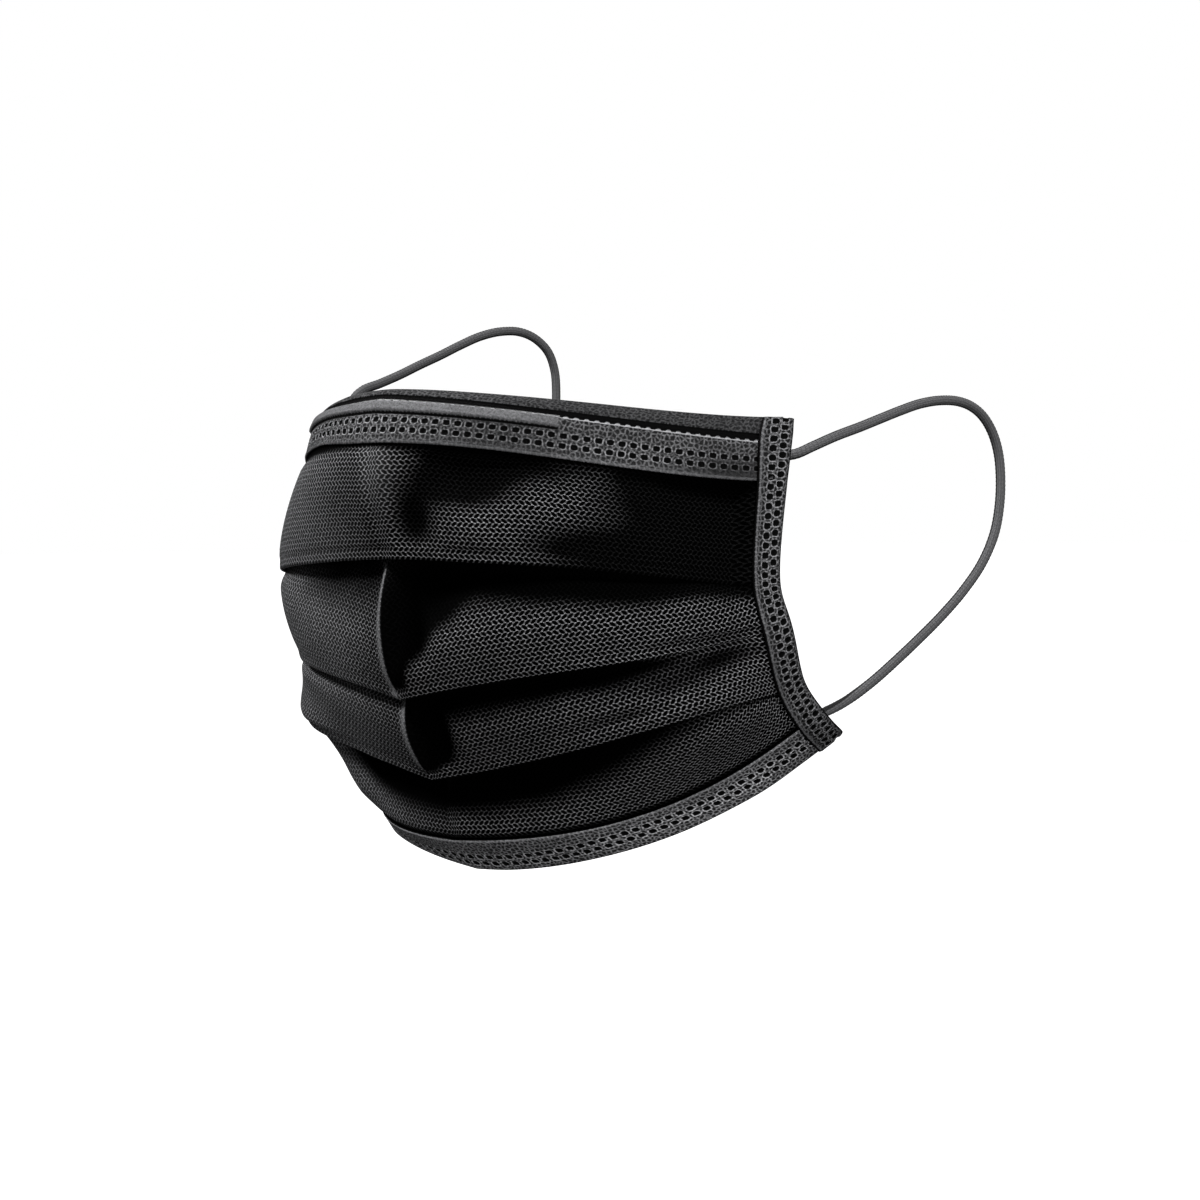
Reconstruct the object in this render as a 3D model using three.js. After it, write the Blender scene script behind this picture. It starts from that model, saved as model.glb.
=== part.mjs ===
// Disposable pleated face mask with two ear loops, in the form it takes on a face.
// Millimetres, +Z up, -Y to the front, +X to the wearer's left.
// The origin is the seat on the bridge of the nose, at the centre of the top edge.

import * as THREE from 'three';

// ---------------------------------------------------------------- driving sizes

const cloth = 1;            // wall of the body and of both hems
const gap = 0.45;           // clear space between layers and between pieces
const layer = cloth + gap;  // spacing of the layers in a pleat
const sideEnd = 0.994;      // the body and the hems stop just short of the edging
const halfStations = 12;    // sections from the centre to one side
const crowding = 1.25;      // above 1, the sections draw together towards the centre crease
const creaseWidth = 0.09;   // share of a half side over which the centre crease fades
const turn = 1.1;           // height of the round part of a fold

// The layers are pressed together a little beside the edging, where they are welded.
const press = { from: 0.85, share: 0.86 };

// How far up behind its panel a pleat's hidden fold reaches, as a share of the panel.
const tuck = { centre: 0.2, side: 0.4 };

// The tape welded over each side. Its flare is in degrees out from straight back.
const tape = { width: 6.5, thickness: 3, proud: 0.3, flareTop: 38, flareBottom: 18, sections: 29 };

// The flat strip in the top hem. Its ends and the hem's bump over it are shares of a half side,
// its top and bottom are places down the cloth.
const wire = { end: 0.49, coverEnd: 0.51, flatFrom: 0.59, top: 1.11, bottom: 1.35, thickness: 0.8 };

const cord = { radius: 1.05, sides: 8, steps: 40 };

// Lines of the cloth that run across the face, from the top edge to the chin. A row gives half a
// line as a Bezier curve: its point at the centre, a handle in front, a handle on the cheek and
// its end at the edging. The other half is its mirror image. crease is how far its centre stands
// out. Whole numbers of v, the place down the cloth, are these lines in their order.
const line = (name, centre, front, cheek, side, crease) => ({ name, centre, front, cheek, side, crease });
const lines = [
  line('top fold', [0, 0, 0], [26, 0.5, -0.5], [43.5, 29.5, -6], [57, 46.5, -7], 0),
  line('weld groove', [0, -3, -1.5], [29.5, -2.5, -3], [46, 25.5, -8.5], [57.5, 44.5, -10.5], 0),
  line('hem edge', [0, -7, -11], [31, -5.5, -11], [47, 21.5, -18.5], [58.5, 42.5, -19.5], 0),
  line('first pleat', [0, -3, -34], [31.5, -1, -35], [55.5, 10, -36.5], [59, 40, -40], 0),
  line('second pleat', [0, 2, -62.3], [32, 2.5, -56], [51, 13, -55.5], [59.6, 42.6, -50], 1.2),
  line('third pleat', [0, 10.5, -79], [35, 14.5, -73.5], [61.5, 18.5, -64.5], [57.5, 49.5, -62], 1),
  line('binding edge', [0, 16, -91.5], [32, 16, -90.5], [42.5, 39, -86.5], [56.5, 57.5, -69.5], 0),
  line('chin fold', [0, 22.5, -98], [40.5, 25, -95], [45.5, 44, -88.5], [54.5, 66.5, -74.5], 0),
];
const topFold = 0;
const weldGroove = 1;
const hemEdge = 2;
const firstPleat = 3;
const secondPleat = 4;
const thirdPleat = 5;
const bindingEdge = 6;
const chinFold = 7;

// How the panel below a line stands out between its two lines: bulge everywhere, ridge at the
// centre crease, and pocket where it falls back beside the crease under the pleat above.
const panels = {
  [hemEdge]: { bulge: 0.6, ridge: 0, pocket: 0 },
  [firstPleat]: { bulge: 0.3, ridge: 2.2, pocket: 1.5 },
  [secondPleat]: { bulge: 0.2, ridge: 0.8, pocket: 1.5 },
  [thirdPleat]: { bulge: 0.4, ridge: 0.3, pocket: 1.5 },
};

// The way of each ear loop, from its weld behind the top of the edging to the weld at the
// bottom. The right loop is pulled higher than the left.
const leftLoop = [
  [55.4, 47.2, -14.5], [56.9, 49.4, -14.5], [58.5, 51.6, -14.5], [60.2, 53.3, -14.1], [62, 56.2, -12.7],
  [63.6, 61.5, -10.7], [64.8, 68.1, -8.8], [65.3, 74.2, -7.1], [65.7, 80.5, -5.4], [66, 87, -3.9],
  [66, 94.1, -3.1], [66, 100.5, -3.2], [66, 105.6, -4.3], [66, 109.7, -6.4], [66, 113, -9.8],
  [66, 115, -14], [66, 115.7, -19], [66, 115.2, -25], [65.7, 113.6, -31], [65.2, 109.8, -37],
  [64.6, 103.6, -42.8], [63.8, 96.6, -48], [63, 90, -52.3], [62, 83, -56.7], [61, 76, -60.8],
  [59.3, 70, -64.2], [57.7, 67, -65.8], [55.9, 64.9, -66.9], [54, 63.3, -68],
];
const rightLoop = [
  [-55.4, 47.2, -14.5], [-56.9, 49.4, -14.5], [-58.3, 51.5, -14.4], [-60.1, 52.8, -13.2],
  [-61.8, 52.8, -11], [-63.2, 52.2, -7.6], [-64.2, 51.8, -3.2], [-64.8, 52.6, 0.4], [-65, 55.6, 2.6],
  [-65, 61.2, 4.3], [-65, 67.6, 6.4], [-65, 74.1, 8.8], [-64.8, 80.5, 11.1], [-64.5, 86.9, 13.6],
  [-64, 93.1, 15.8], [-63.5, 99.4, 17.1], [-63, 105.5, 17.2], [-62.5, 110.5, 15.7], [-62, 114.3, 12.7],
  [-62, 116.5, 8.4], [-62, 117, 3], [-62, 116.2, -5], [-62, 114, -14], [-62, 110.8, -22.5],
  [-62, 106.5, -31], [-62, 101, -39], [-62, 94.8, -46], [-61.8, 88, -51.8], [-61.3, 81, -57],
  [-60.4, 74.8, -61.2], [-59.1, 69.9, -64.2], [-57.7, 67, -65.8], [-55.9, 64.9, -66.9], [-54, 63.3, -68],
];

// ---------------------------------------------------------------- the cloth's surface

const mix = (a, b, t) => a + (b - a) * t;
const creaseAt = (u) => Math.exp(-Math.abs(u) / creaseWidth);
const vectors = (points) => points.map((p) => new THREE.Vector3(...p));

// Half of each line as a curve, measured along its length so that columns of cloth stay upright.
const halfLines = lines.map(({ centre, front, cheek, side }) => {
  return new THREE.CubicBezierCurve3(...vectors([centre, front, cheek, side]));
});

// The outer surface at u, from -1 on the wearer's right to 1 on the left, and v down the cloth.
function skin(u, v) {
  const share = Math.min(Math.abs(u), 1);
  const column = halfLines.map((half, i) => {
    const point = half.getPointAt(share);
    point.x *= Math.sign(u);
    point.y -= lines[i].crease * creaseAt(u);
    return point;
  });
  const down = new THREE.CatmullRomCurve3(column, false, 'centripetal');
  return down.getPoint(THREE.MathUtils.clamp(v / chinFold, 0, 1));
}

// Directions at a point of the surface: up along it, and inward to the face.
function skinFrame(u, v) {
  const stepU = 0.01;
  const stepV = 0.02;
  const across = skin(u + stepU, v).sub(skin(u - stepU, v));
  const up = skin(u, v - stepV).sub(skin(u, v + stepV)).normalize();
  const inward = new THREE.Vector3().crossVectors(up, across).normalize();
  return { up, inward };
}

// A point at u and v, moved up along the cloth by rise and in towards the face by depth.
function clothPoint(u, v, rise, depth) {
  const { up, inward } = skinFrame(u, v);
  const panel = panels[Math.floor(v)];
  const s = v - Math.floor(v);
  const hump = 4 * s * (1 - s);
  const proud = panel ? hump * (panel.bulge * (1 - u ** 4) + panel.ridge * creaseAt(u)) : 0;
  return skin(u, v).addScaledVector(up, rise).addScaledVector(inward, depth - proud);
}

// ---------------------------------------------------------------- shells

// A closed shell between two grids of points with the same rows and columns.
function shell(front, back) {
  const rows = front.length;
  const columns = front[0].length;
  const lastRow = rows - 1;
  const lastColumn = columns - 1;
  const positions = [...front.flat(), ...back.flat()].flatMap((p) => p.toArray());
  const f = (i, j) => i * columns + j;
  const b = (i, j) => (rows + i) * columns + j;
  const faces = [];
  const quad = (p, q, r, s) => faces.push(p, q, r, p, r, s);
  for (let i = 0; i < lastRow; i += 1) {
    for (let j = 0; j < lastColumn; j += 1) {
      quad(f(i, j), f(i + 1, j), f(i + 1, j + 1), f(i, j + 1));
      quad(b(i, j), b(i, j + 1), b(i + 1, j + 1), b(i + 1, j));
    }
    quad(f(i, 0), b(i, 0), b(i + 1, 0), f(i + 1, 0));
    quad(f(i, lastColumn), f(i + 1, lastColumn), b(i + 1, lastColumn), b(i, lastColumn));
  }
  for (let j = 0; j < lastColumn; j += 1) {
    quad(f(0, j), f(0, j + 1), b(0, j + 1), b(0, j));
    quad(f(lastRow, j), b(lastRow, j), b(lastRow, j + 1), f(lastRow, j + 1));
  }
  const geometry = new THREE.BufferGeometry();
  geometry.setAttribute('position', new THREE.Float32BufferAttribute(positions, 3));
  geometry.setIndex(faces);
  geometry.computeVertexNormals();
  return geometry;
}

// A row of cloth: its place down the mask, the depths of its two faces, and how far each face
// is moved up from that place.
function row(v, front, back, frontRise = 0, backRise = frontRise) {
  return { v, front, back, frontRise, backRise };
}

// A sheet of cloth whose rows down the mask are given by section(u) at each station.
function sheet(section, stations) {
  const columns = stations.map((u) => {
    const near = Math.max(0, Math.abs(u) - press.from) / (1 - press.from);
    const squeeze = mix(1, press.share, near);
    return section(u).map((r) => ({
      front: clothPoint(u, r.v, r.frontRise, r.front * squeeze),
      back: clothPoint(u, r.v, r.backRise, r.back * squeeze),
    }));
  });
  const grid = (side) => columns[0].map((_, i) => columns.map((column) => column[i][side]));
  return shell(grid('front'), grid('back'));
}

function spreadStations(end, count, power) {
  const half = Array.from({ length: count }, (_, i) => end * ((i + 1) / count) ** power);
  return [...half.map((u) => -u).reverse(), 0, ...half];
}
const clothStations = spreadStations(sideEnd, halfStations, crowding);

// ---------------------------------------------------------------- pleated body

// One pleat: the panel above turns in under its edge at v, runs up behind itself and turns down
// again as the next panel.
function pleatRows(v, u) {
  const top = v - mix(tuck.centre, tuck.side, u * u);
  const inner = layer + cloth;
  const next = 2 * layer;
  return [
    row(v, 0, cloth, turn - 0.2, turn),
    row(v, layer - cloth / 2, layer - gap / 2, 0, cloth),
    row(v, inner, layer, turn - 0.2, turn),
    row(top, inner, layer, -turn, 0.2 - turn),
    row(top, inner + gap / 2, inner + gap / 2, -cloth, 0),
    row(top, next, next + cloth, -turn, 0.2 - turn),
    row(v, next, next + cloth),
  ];
}

// A panel that comes out from behind the pleat above it, at the given shares of its height.
// It ends at a depth of settle behind the line below.
function panelRows(top, shares, u, settle = 0) {
  const beside = Math.sin(Math.PI * Math.abs(u) ** 0.6) ** 2;
  const hidden = 2 * layer + panels[top].pocket * beside - settle;
  return shares.map((s) => {
    const front = settle + hidden * Math.max(0, 1 - s / 0.45) ** 2;
    return row(top + s, front, front + cloth);
  });
}

function bodySection(u) {
  const behind = (v) => row(v, layer, layer + cloth);
  const fromHem = (share) => {
    const front = layer * Math.max(0, 1 - share / 0.6);
    return row(hemEdge + share, front, front + cloth);
  };
  return [
    ...[0.4, 0.7, 1, 1.5, 2].map(behind),
    ...[0.2, 0.45, 0.7, 0.88].map(fromHem),
    ...pleatRows(firstPleat, u),
    ...panelRows(firstPleat, [0.12, 0.25, 0.4, 0.62, 0.84], u),
    ...pleatRows(secondPleat, u),
    ...panelRows(secondPleat, [0.15, 0.35, 0.6, 0.85], u),
    ...pleatRows(thirdPleat, u),
    ...panelRows(thirdPleat, [0.15, 0.35, 0.6, 0.8], u, layer),
    ...[6, 6.3, 6.5, 6.62].map(behind),
  ];
}

// ---------------------------------------------------------------- hems

// A hem is a strip folded over an edge of the body. Its front leg shows, its back leg is short.
const frontLeg = (v, lift = 0) => row(v, -lift, cloth - lift);
const backLeg = (v) => row(v, 2 * layer + cloth, 2 * layer);

// The round of the fold, from front to back. way is 1 over a top edge, -1 under a bottom one.
function foldRows(v, way) {
  const drop = -0.6 * way;
  const middle = layer + cloth / 2;
  return [
    row(v, 0.3, cloth, drop, -cloth * way),
    row(v, middle, middle, 0, -cloth * way),
    row(v, 2 * layer + cloth - 0.3, 2 * layer, drop, -cloth * way),
  ];
}

function topHemSection(u) {
  const over = (wire.flatFrom - Math.abs(u)) / (wire.flatFrom - wire.coverEnd);
  const bump = THREE.MathUtils.clamp(over, 0, 1) * (wire.thickness + gap);
  return [
    ...[1.6, 1, 0.4].map(backLeg),
    ...foldRows(topFold, 1).reverse(),
    ...[0.4, 0.7, weldGroove].map((v) => frontLeg(v)),
    frontLeg(wire.top - 0.03, bump),
    frontLeg(wire.bottom + 0.03, bump),
    ...[1.5, hemEdge].map((v) => frontLeg(v)),
  ];
}

function chinHemSection() {
  return [
    ...[bindingEdge, 6.3, 6.5, 6.7].map((v) => frontLeg(v)),
    ...foldRows(chinFold, -1),
    ...[6.7, 6.5, 6.3].map(backLeg),
  ];
}

function wireSection() {
  return [wire.top, wire.bottom].map((v) => row(v, cloth - wire.thickness, cloth));
}

// ---------------------------------------------------------------- side edging

// The tape over the ends of the body. hand is 1 on the wearer's left, -1 on the right. Its inner
// edge is cut along the ends of the body, so that the gap between them stays even.
function edging(hand) {
  const places = Array.from({ length: tape.sections }, (_, i) => (chinFold * i) / (tape.sections - 1));
  const sections = places.map((v) => {
    const { up, inward } = skinFrame(1, v);
    const flare = THREE.MathUtils.degToRad(mix(tape.flareTop, tape.flareBottom, v / chinFold));
    const out = new THREE.Vector3(Math.sin(flare), Math.cos(flare), 0);
    out.addScaledVector(up, Math.max(0, -out.dot(up))).normalize();
    const across = new THREE.Vector3().crossVectors(up, out).normalize();
    return { start: skin(1, v), out, inward, across };
  });
  const columns = [
    { reach: 0, way: 'inward' },
    { reach: tape.width / 2, way: 'across' },
    { reach: tape.width, way: 'across' },
  ];
  if (hand < 0) columns.reverse();
  const grid = (depth) => sections.map((section) => columns.map(({ reach, way }) => {
    const point = section.start.clone().addScaledVector(section.out, reach);
    point.addScaledVector(section[way], depth);
    point.x *= hand;
    return point;
  }));
  return shell(grid(-tape.proud), grid(tape.thickness - tape.proud));
}

// ---------------------------------------------------------------- ear loops

function earLoop(route) {
  const corners = Array.from({ length: cord.sides }, (_, i) => {
    const angle = (2 * Math.PI * i) / cord.sides;
    return new THREE.Vector2(cord.radius * Math.cos(angle), cord.radius * Math.sin(angle));
  });
  const extrudePath = new THREE.CatmullRomCurve3(vectors(route), false, 'centripetal');
  return new THREE.ExtrudeGeometry(new THREE.Shape(corners), { steps: cord.steps, extrudePath });
}

// ---------------------------------------------------------------- assembly

const bodyBlack = { color: 0x1c1c1d, roughness: 0.92, metalness: 0 };
const hemGrey = { color: 0x3a3a3b, roughness: 0.9, metalness: 0 };
const elasticGrey = { color: 0x4a4a4b, roughness: 0.85, metalness: 0 };
const wireGrey = { color: 0x505052, roughness: 0.6, metalness: 0 };

function piece(name, geometry, finish) {
  const mesh = new THREE.Mesh(geometry, new THREE.MeshStandardMaterial(finish));
  mesh.name = name;
  return mesh;
}

const group = new THREE.Group();
group.add(
  piece('filter_panel', sheet(bodySection, clothStations), bodyBlack),
  piece('top_binding', sheet(topHemSection, clothStations), hemGrey),
  piece('bottom_binding', sheet(chinHemSection, clothStations), hemGrey),
  piece('nose_wire', sheet(wireSection, spreadStations(wire.end, 8, 1)), wireGrey),
  piece('side_edging_left', edging(1), hemGrey),
  piece('side_edging_right', edging(-1), hemGrey),
  piece('ear_loop_left', earLoop(leftLoop), elasticGrey),
  piece('ear_loop_right', earLoop(rightLoop), elasticGrey),
);

export default group;
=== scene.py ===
import math

import bpy
import numpy as np
from mathutils import Matrix, Vector


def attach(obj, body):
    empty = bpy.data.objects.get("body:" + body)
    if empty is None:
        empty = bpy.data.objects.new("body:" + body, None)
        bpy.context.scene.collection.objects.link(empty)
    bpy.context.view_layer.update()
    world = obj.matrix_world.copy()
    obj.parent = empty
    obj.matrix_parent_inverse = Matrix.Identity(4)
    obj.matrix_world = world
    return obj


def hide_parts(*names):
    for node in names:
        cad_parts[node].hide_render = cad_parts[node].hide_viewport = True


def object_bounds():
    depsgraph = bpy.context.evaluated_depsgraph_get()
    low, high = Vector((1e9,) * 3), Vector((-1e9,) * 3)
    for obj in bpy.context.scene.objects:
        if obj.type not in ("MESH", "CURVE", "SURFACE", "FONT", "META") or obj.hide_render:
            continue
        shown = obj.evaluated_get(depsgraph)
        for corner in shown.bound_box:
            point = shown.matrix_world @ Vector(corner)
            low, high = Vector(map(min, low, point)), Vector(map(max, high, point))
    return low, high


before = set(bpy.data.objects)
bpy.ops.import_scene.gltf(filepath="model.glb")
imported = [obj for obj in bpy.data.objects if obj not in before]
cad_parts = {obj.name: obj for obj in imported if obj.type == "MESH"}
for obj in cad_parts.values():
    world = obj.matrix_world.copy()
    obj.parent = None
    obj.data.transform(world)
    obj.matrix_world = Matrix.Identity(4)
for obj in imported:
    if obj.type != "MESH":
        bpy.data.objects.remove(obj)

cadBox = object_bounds()
mm = 0.001  # the tables below are in millimetres
print("frame loaded:", len(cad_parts), "nodes")


# the camera: a long lens, level with the mask and well round to the wearer's left
cameraSetup = {
    "azimuth": 41.5,  # degrees round from the front
    "elevation": 1.6,
    "roll": -0.75,
    "place": (0.466, -0.46505, -0.02439),  # metres
    "lens": 99,  # millimetres, as is the sensor
    "sensor": 36,
    "sees": (0.01, 20),  # metres, from nearest to furthest
}


def towards(azimuth, elevation):
    # the direction to something that stands at these angles, in degrees, seen from the mask
    turn, height = math.radians(azimuth), math.radians(elevation)
    level = math.cos(height)
    return Vector((math.sin(turn) * level, -math.cos(turn) * level, math.sin(height)))


def addCamera():
    back = towards(cameraSetup["azimuth"], cameraSetup["elevation"])
    right = towards(cameraSetup["azimuth"] + 90, 0)
    up = back.cross(right)
    roll = math.radians(cameraSetup["roll"])
    tiltedRight = right * math.cos(roll) + up * math.sin(roll)
    tiltedUp = up * math.cos(roll) - right * math.sin(roll)
    camera = bpy.data.objects.new("camera", bpy.data.cameras.new("camera"))
    camera.data.sensor_width = cameraSetup["sensor"]
    camera.data.lens = cameraSetup["lens"]
    camera.data.clip_start, camera.data.clip_end = cameraSetup["sees"]
    axes = Matrix((tiltedRight, tiltedUp, back)).transposed().to_4x4()
    camera.matrix_world = Matrix.Translation(cameraSetup["place"]) @ axes
    bpy.context.scene.collection.objects.link(camera)
    bpy.context.scene.camera = camera


addCamera()
print("camera placed")


# small helpers for shapes


def mix(a, b, t):
    return a + (b - a) * t


def ease(low, high, x):
    t = np.clip((np.asarray(x, float) - low) / (high - low), 0, 1)
    return t * t * (3 - 2 * t)


def bell(x, middle, width):
    return np.exp(-(((x - middle) / width) ** 2))


def unit(vectors):
    return vectors / np.maximum(np.linalg.norm(vectors, axis=-1, keepdims=True), 1e-12)


def runLength(points, axis):
    # distance along a grid of points, from its first row or column
    steps = np.linalg.norm(np.diff(points, axis=axis), axis=-1)
    start = np.zeros_like(np.take(steps, [0], axis=axis))
    return np.cumsum(np.concatenate([start, steps], axis=axis), axis=axis)


def evenly(points, step):
    # the same way with its points about a step apart
    run = runLength(points, 0)
    at = np.linspace(0, run[-1], round(run[-1] / step) + 1)
    return np.stack([np.interp(at, run, column) for column in points.T], -1)


def curveBetween(a, b, c, d, t):
    # a centripetal Catmull-Rom curve from b to c, where a comes before b and d after c
    gaps = [np.sqrt(np.linalg.norm(q - p, axis=-1, keepdims=True)) for p, q in ((a, b), (b, c), (c, d))]
    first, middle, last = gaps
    leave = ((b - a) / first - (c - a) / (first + middle) + (c - b) / middle) * middle
    arrive = ((c - b) / middle - (d - b) / (middle + last) + (d - c) / last) * middle
    point = (2 * t**3 - 3 * t**2 + 1) * b + (t**3 - 2 * t**2 + t) * leave
    return point + (3 * t**2 - 2 * t**3) * c + (t**3 - t**2) * arrive


def beyondEnds(knots):
    # one more knot at each end, straight on
    return np.concatenate([2 * knots[:1] - knots[1:2], knots, 2 * knots[-1:] - knots[-2:-1]])


def outward(points):
    # the direction out of a grid of points whose rows run down and columns to the wearer's left
    return unit(np.cross(np.gradient(points, axis=0), np.gradient(points, axis=1)))


def quads(first, second, third, fourth):
    return np.stack([first, second, third, fourth], -1).reshape(-1, 4)


def addPiece(name, points, faces, uv):
    mesh = bpy.data.meshes.new(name)
    mesh.from_pydata((points.reshape(-1, 3) * mm).tolist(), [], faces)
    mesh.shade_smooth()
    mesh.uv_layers.new(name="cloth").data.foreach_set("uv", uv.astype(np.float32).ravel())
    piece = bpy.data.objects.new(name, mesh)
    bpy.context.scene.collection.objects.link(piece)
    return piece


def clothPiece(name, points, across, down, thickness):
    # points is the grid of the cloth's outer face, in millimetres, and the cloth lies behind it;
    # across and down are its map, in millimetres of cloth
    rows, columns = points.shape[:2]
    under = points - outward(points) * np.broadcast_to(thickness, points.shape[:2])[..., None]
    front = np.arange(rows * columns).reshape(rows, columns)
    back = front + rows * columns
    faces = [
        quads(front[:-1, :-1], front[1:, :-1], front[1:, 1:], front[:-1, 1:]),
        quads(back[:-1, :-1], back[:-1, 1:], back[1:, 1:], back[1:, :-1]),
        quads(front[:-1, 0], back[:-1, 0], back[1:, 0], front[1:, 0]),
        quads(front[:-1, -1], front[1:, -1], back[1:, -1], back[:-1, -1]),
        quads(front[0, :-1], front[0, 1:], back[0, 1:], back[0, :-1]),
        quads(front[-1, :-1], back[-1, :-1], back[-1, 1:], front[-1, 1:]),
    ]
    faces = np.concatenate(faces)
    uv = np.stack(np.broadcast_arrays(across, down), -1).reshape(-1, 2)
    uv = np.concatenate([uv, uv])[faces.ravel()]
    return addPiece(name, np.stack([points, under]), faces.tolist(), uv)


def tubePiece(name, points, around, along):
    # rows of points are the rings of a tube, and its two ends are capped
    rings, sides = points.shape[:2]
    ring = np.arange(rings * sides).reshape(rings, sides)
    turned = np.roll(ring, -1, axis=1)
    faces = quads(ring[:-1], ring[1:], turned[1:], turned[:-1])
    here, side = (x.ravel() for x in np.meshgrid(np.arange(rings - 1), np.arange(sides), indexing="ij"))
    near, far = around[side], around[side] + around[1] - around[0]
    corners = [(near, along[here]), (near, along[here + 1]), (far, along[here + 1]), (far, along[here])]
    uv = np.stack([np.stack(corner, -1) for corner in corners], 1).reshape(-1, 2)
    ends = np.zeros((2 * sides, 2))
    ends[sides:, 1] = along[-1]
    caps = [ring[0].tolist(), ring[-1][::-1].tolist()]
    return addPiece(name, points, faces.tolist() + caps, np.concatenate([uv, ends]))


def addLayer(piece, name, outer, inner):
    # a number at each point of the cloth's two faces
    values = [np.broadcast_to(face, outer.shape) for face in (outer, inner)]
    layer = piece.data.attributes.new(name, "FLOAT", "POINT")
    layer.data.foreach_set("value", np.stack(values).astype(np.float32).ravel())


def finishPiece(piece, node, material):
    piece.data.materials.append(material)
    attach(piece, "root")
    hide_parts(node)
    return piece


# shader maths, and one method that makes every other node


class Wire:
    def __init__(self, maker, socket):
        self.maker = maker
        self.socket = socket

    def maths(self, operation, *values):
        return self.maker.node("ShaderNodeMath", {"operation": operation}, dict(enumerate(values)))

    def __add__(self, other):
        return self.maths("ADD", self, other)

    def __radd__(self, other):
        return self.maths("ADD", other, self)

    def __sub__(self, other):
        return self.maths("SUBTRACT", self, other)

    def __rsub__(self, other):
        return self.maths("SUBTRACT", other, self)

    def __mul__(self, other):
        return self.maths("MULTIPLY", self, other)

    def __rmul__(self, other):
        return self.maths("MULTIPLY", other, self)

    def __truediv__(self, other):
        return self.maths("DIVIDE", self, other)

    def __rtruediv__(self, other):
        return self.maths("DIVIDE", other, self)

    def __mod__(self, other):
        return self.maths("FLOORED_MODULO", self, other)

    def __rmod__(self, other):
        return self.maths("FLOORED_MODULO", other, self)

    def __pow__(self, other):
        return self.maths("POWER", self, other)

    def __rpow__(self, other):
        return self.maths("POWER", other, self)

    def __abs__(self):
        return self.maths("ABSOLUTE", self)

    def whole(self):
        return self.maths("FLOOR", self)

    def part(self):
        return self.maths("FRACT", self)

    def least(self, other):
        return self.maths("MINIMUM", self, other)

    def most(self, other):
        return self.maths("MAXIMUM", self, other)


class Maker:
    def __init__(self, owner):
        self.owner = owner
        owner.use_nodes = True
        owner.node_tree.nodes.clear()

    def node(self, kind, settings=None, sockets=None, output=0):
        # settings come first, and output None gives the node itself
        tree = self.owner.node_tree
        made = tree.nodes.new(kind)
        for key, value in (settings or {}).items():
            setattr(made, key, value)
        for key, value in (sockets or {}).items():
            if isinstance(value, Wire):
                tree.links.new(value.socket, made.inputs[key])
            else:
                made.inputs[key].default_value = value
        return made if output is None else Wire(self, made.outputs[output])

    def cloth(self):
        # millimetres across and down the cloth
        uv = self.node("ShaderNodeUVMap", {"uv_map": "cloth"})
        apart = self.node("ShaderNodeSeparateXYZ", None, {"Vector": uv}, None)
        return Wire(self, apart.outputs["X"]), Wire(self, apart.outputs["Y"])

    def layer(self, name):
        return self.node("ShaderNodeAttribute", {"attribute_name": name}, None, "Fac")

    def flatPoint(self, across, down):
        return self.node("ShaderNodeCombineXYZ", None, {"X": across, "Y": down})

    def noise(self, across, down, scale, detail=2.0, roughness=0.5):
        sockets = {"Vector": self.flatPoint(across, down), "Scale": scale, "Detail": detail,
                   "Roughness": roughness}
        return self.node("ShaderNodeTexNoise", {"noise_dimensions": "2D"}, sockets)

    def step(self, low, high, value):
        # 0 at low, 1 at high, and smooth between them
        sockets = {"Value": value, "From Min": low, "From Max": high}
        return self.node("ShaderNodeMapRange", {"interpolation_type": "SMOOTHSTEP"}, sockets)

    def blend(self, factor, first, second):
        # the mix node's sockets for colours share their names with others, so they go by number
        return self.node("ShaderNodeMix", {"data_type": "RGBA"}, {0: factor, 6: first, 7: second}, 2)

    def bump(self, height, distance):
        return self.node("ShaderNodeBump", None, {"Height": height, "Distance": distance * mm})

    def surface(self, sockets):
        shader = self.node("ShaderNodeBsdfPrincipled", None, sockets)
        self.node("ShaderNodeOutputMaterial", None, {"Surface": shader}, None)
        return self.owner


def newFinish(name):
    return Maker(bpy.data.materials.new(name))


def grey(level):
    return (level, level, level * 1.03, 1)  # a little cool


# the ear loops: knitted elastic cord, welded behind the edging at both ends

# the way of each loop, from its top weld to its bottom weld
leftRoute = [
    (55.4, 47.2, -14.5), (56.9, 49.4, -14.5), (58.5, 51.6, -14.5), (60.2, 53.3, -14.1), (62, 56.2, -12.7),
    (63.6, 61.5, -10.7), (64.8, 68.1, -8.8), (65.3, 74.2, -7.1), (65.7, 80.5, -5.4), (66, 87, -3.9),
    (66, 94.1, -3.1), (66, 100.5, -3.2), (66, 105.6, -4.3), (66, 109.7, -6.4), (66, 113, -9.8),
    (66, 115, -14), (66, 115.7, -19), (66, 115.2, -25), (65.7, 113.6, -31), (65.2, 109.8, -37),
    (64.6, 103.6, -42.8), (63.8, 96.6, -48), (63, 90, -52.3), (62, 83, -56.7), (61, 76, -60.8),
    (59.3, 70, -64.2), (57.7, 67, -65.8), (55.9, 64.9, -66.9), (54, 63.3, -68),
]
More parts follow.
